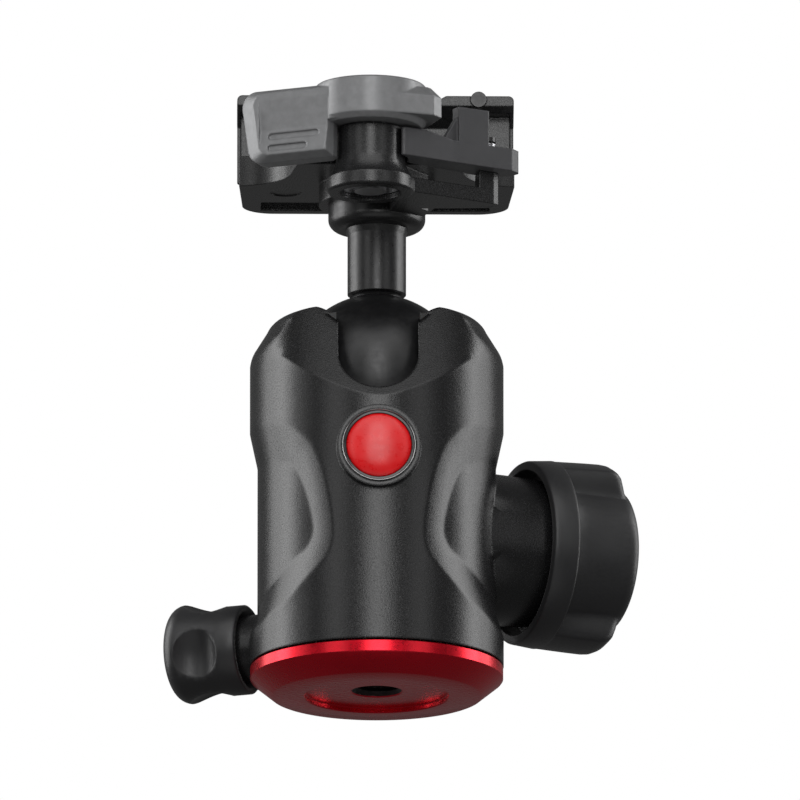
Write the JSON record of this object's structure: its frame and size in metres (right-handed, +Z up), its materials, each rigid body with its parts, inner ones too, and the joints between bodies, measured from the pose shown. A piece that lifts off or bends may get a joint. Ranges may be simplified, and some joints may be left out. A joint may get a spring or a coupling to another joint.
{
  "type": "tripod ball head",
  "caption": "Compact tripod ball head with notched housing, side lock knob, pan lock knob and quick-release receiver with lever and safety catch.",
  "frame": {"origin": "centre of the base disc's underside, where the pan axis meets the tripod platform", "axes": "+Z up along the pan axis and the upright stem, -Y towards the notch (front), +X right, towards the ball lock knob"},
  "size_m": [0.0901, 0.0661, 0.1215],
  "materials": {
    "red_anodised": "glossy red anodised",
    "black_casting": "fine textured black powder coat",
    "machined_aluminium": "turned",
    "plated_steel": "zinc plated",
    "spring_steel": "bright",
    "white_polymer": "low friction polymer",
    "black_polymer": "low friction polymer, black",
    "brass": "turned",
    "gloss_black": "gloss with a bright edge",
    "red_dome": "domed resin",
    "soft_black": "soft matte",
    "black_ball": "matte hard coat",
    "black_satin": "satin black",
    "grey_lever": "satin grey paint",
    "dark_plastic": "dark grey moulding"
  },
  "bodies": {
    "base": {"base_disc": "red_anodised", "pan_circlip": "spring_steel"},
    "housing": {"body_housing": "black_casting", "bearing_plate": "machined_aluminium", "pan_washer": "white_polymer", "thrust_plate": "plated_steel", "upper_ball_ring": "black_polymer", "lock_bush": "brass", "badge_bezel": "gloss_black", "badge_dome": "red_dome"},
    "wedge": {"lock_wedge": "brass"},
    "lock_knob": {"lock_knob": "soft_black", "lock_screw": "plated_steel", "lock_knob_cap": "soft_black"},
    "piston": {"lock_piston": "machined_aluminium", "disc_springs": "spring_steel", "lower_ball_cup": "white_polymer"},
    "pan_shoe": {"pan_brake_shoe": "brass"},
    "pan_knob": {"pan_lock_knob": "soft_black", "pan_lock_screw": "plated_steel", "pan_knob_cap": "soft_black"},
    "ball": {"ball": "black_ball"},
    "stem": {"ball_stem": "black_ball"},
    "head": {"stem_sleeve": "black_satin", "stem_collar": "black_satin", "receiver": "black_casting", "receiver_bolt": "plated_steel", "jaw_pins": "black_satin", "lever_pivot": "plated_steel", "pivot_clip": "spring_steel", "lever_spring": "spring_steel", "trigger_spring": "spring_steel", "trigger_plug": "white_polymer", "catch_pin": "plated_steel", "catch_spring": "spring_steel"},
    "lever": {"lever": "grey_lever"},
    "catch": {"safety_catch": "dark_plastic"},
    "trigger": {"trigger_pin": "brass"}
  },
  "joints": [
    {"name": "pan", "type": "hinge", "parent": "base", "child": "housing", "pos_m": [0, 0, 0.0109], "axis": [0, 0, 1], "continuous": true},
    {"name": "wedge_slide", "type": "slide", "parent": "housing", "child": "wedge", "axis": [0.9272, 0.3746, 0], "range_m": [0, 0.001]},
    {"name": "lock_turn", "type": "hinge", "parent": "wedge", "child": "lock_knob", "pos_m": [0, 0, 0.0307], "axis": [0.9272, 0.3746, 0], "range_deg": [0, 245]},
    {"name": "piston_lift", "type": "slide", "parent": "housing", "child": "piston", "axis": [0, 0, 1], "range_m": [-0.0003, 0]},
    {"name": "shoe_slide", "type": "slide", "parent": "housing", "child": "pan_shoe", "axis": [-0.9291, 0.3697, 0], "range_m": [0, 0.000666]},
    {"name": "pan_lock_turn", "type": "hinge", "parent": "pan_shoe", "child": "pan_knob", "pos_m": [0, 0, 0.0113], "axis": [-0.9291, 0.3697, 0], "range_deg": [0, 305]},
    {"name": "side_tilt", "type": "hinge", "parent": "housing", "child": "ball", "pos_m": [0, 0, 0.0608], "axis": [0, 1, 0], "range_deg": [-22, 22]},
    {"name": "front_tilt", "type": "hinge", "parent": "ball", "child": "stem", "pos_m": [0, 0, 0.0608], "axis": [1, 0, 0], "range_deg": [-24, 90]},
    {"name": "head_spin", "type": "hinge", "parent": "stem", "child": "head", "pos_m": [0, 0, 0.0608], "axis": [0, 0, 1], "continuous": true},
    {"name": "lever_swing", "type": "hinge", "parent": "head", "child": "lever", "pos_m": [-0.0016, -0.024, 0.1045], "axis": [0, 0, 1], "range_deg": [0, 80], "stiffness_Nm_per_rad": 0.002},
    {"name": "catch_swing", "type": "hinge", "parent": "head", "child": "catch", "pos_m": [0.0206, -0.0136, 0.1], "axis": [0, 0, 1], "range_deg": [0, 12], "stiffness_Nm_per_rad": 0.001},
    {"name": "trigger_press", "type": "slide", "parent": "head", "child": "trigger", "axis": [0, 0, -1], "range_m": [0, 0.002], "stiffness_N_per_m": 120, "deforming": ["trigger_spring"]}
  ],
  "couplings": [
    {"joint": "lock_turn", "follows": "wedge_slide", "rad_per_m": 4188.8},
    {"joint": "piston_lift", "follows": "wedge_slide", "ratio": -0.21256},
    {"joint": "pan_lock_turn", "follows": "shoe_slide", "rad_per_m": 7854}
  ]
}
